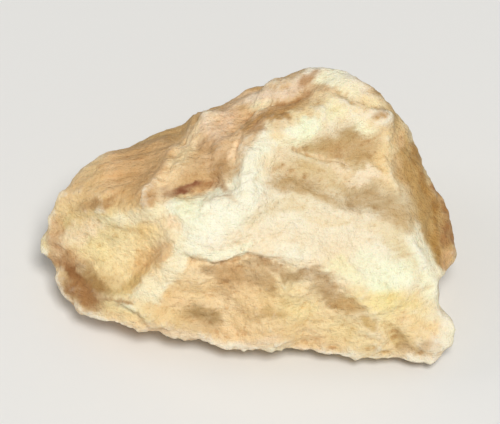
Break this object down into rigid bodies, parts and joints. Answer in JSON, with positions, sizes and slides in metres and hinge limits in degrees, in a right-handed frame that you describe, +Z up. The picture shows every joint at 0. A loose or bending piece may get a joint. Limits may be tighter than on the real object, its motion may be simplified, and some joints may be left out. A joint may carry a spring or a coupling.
{
  "type": "orris root chip",
  "caption": "Angular chip of cut, dried orris root with chalky crests, tan hollows and scarred skin at the back, lying on a flat cut face.",
  "frame": {"origin": "on the surface that the chip rests on, below the middle of its bounding box", "axes": "+X along the chip's length towards its blunt end, +Y towards the scarred skin at its back, +Z up"},
  "size_m": [0.0123, 0.0083, 0.006],
  "materials": {
    "dried_root": "dry, chalky cream on crests and edges, tan and slightly horny in hollows and on the skin"
  },
  "bodies": {
    "root": {"orris_root_chip": "dried_root"}
  },
  "joints": []
}
